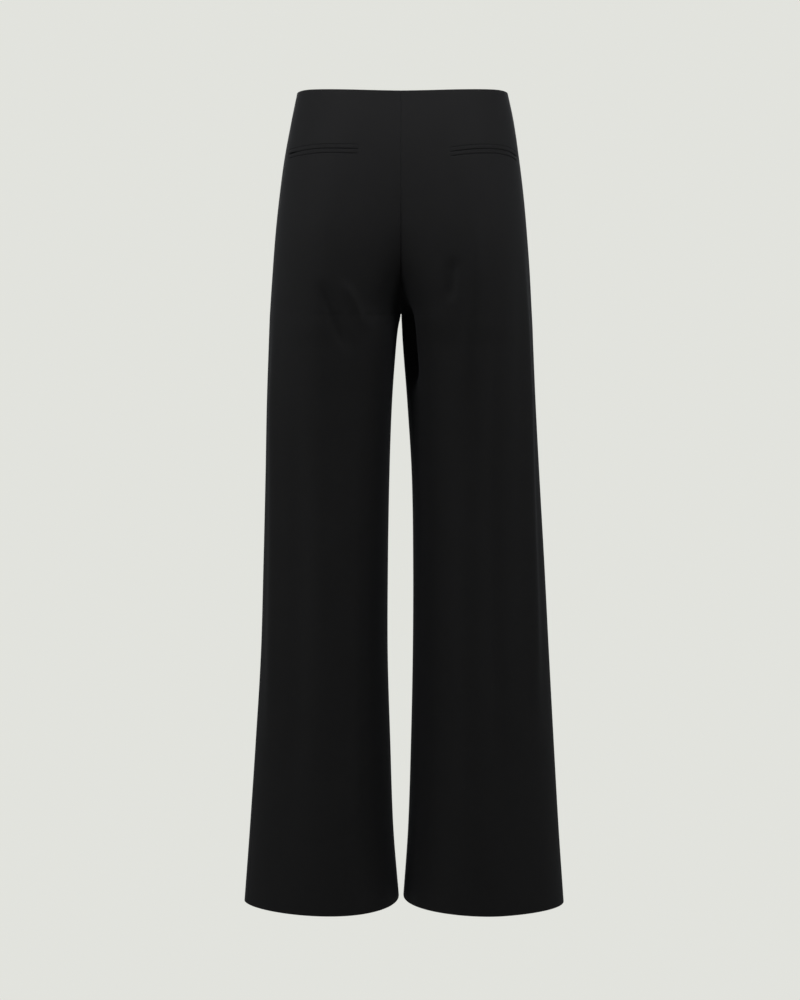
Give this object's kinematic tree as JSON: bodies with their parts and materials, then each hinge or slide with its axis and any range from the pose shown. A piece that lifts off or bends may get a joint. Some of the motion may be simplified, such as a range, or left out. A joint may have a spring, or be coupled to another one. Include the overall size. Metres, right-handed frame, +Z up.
{
  "type": "palazzo pants",
  "caption": "High-waisted wide-leg trousers in plain black suiting, in their worn hollow form, with double welt back pockets and a concealed side zip.",
  "frame": {"origin": "middle of the waist opening, level with the lowest point of the waist edge at centre front", "axes": "+Z up along the body, +Y to the wearer's front, +X to the wearer's right"},
  "size_m": [0.4355, 0.2398, 1.0997],
  "materials": {
    "suiting": "matt black fine twill suiting with a soft sheen at grazing angles",
    "zip_enamel": "black enamel, semi-gloss"
  },
  "bodies": {
    "pants": {"back_left": "suiting", "front_left": "suiting", "welt_left_upper": "suiting", "welt_left_lower": "suiting", "back_right": "suiting", "front_right": "suiting", "welt_right_upper": "suiting", "welt_right_lower": "suiting", "zip_slider": "zip_enamel"},
    "pull_tab": {"zip_tab": "zip_enamel"}
  },
  "joints": [
    {"name": "pull_tab_swing", "type": "hinge", "parent": "pants", "child": "pull_tab", "pos_m": [-0.14232, 0.02816, -0.00133], "axis": [0.2081, 0.9781, 0], "range_deg": [0, 165]}
  ]
}
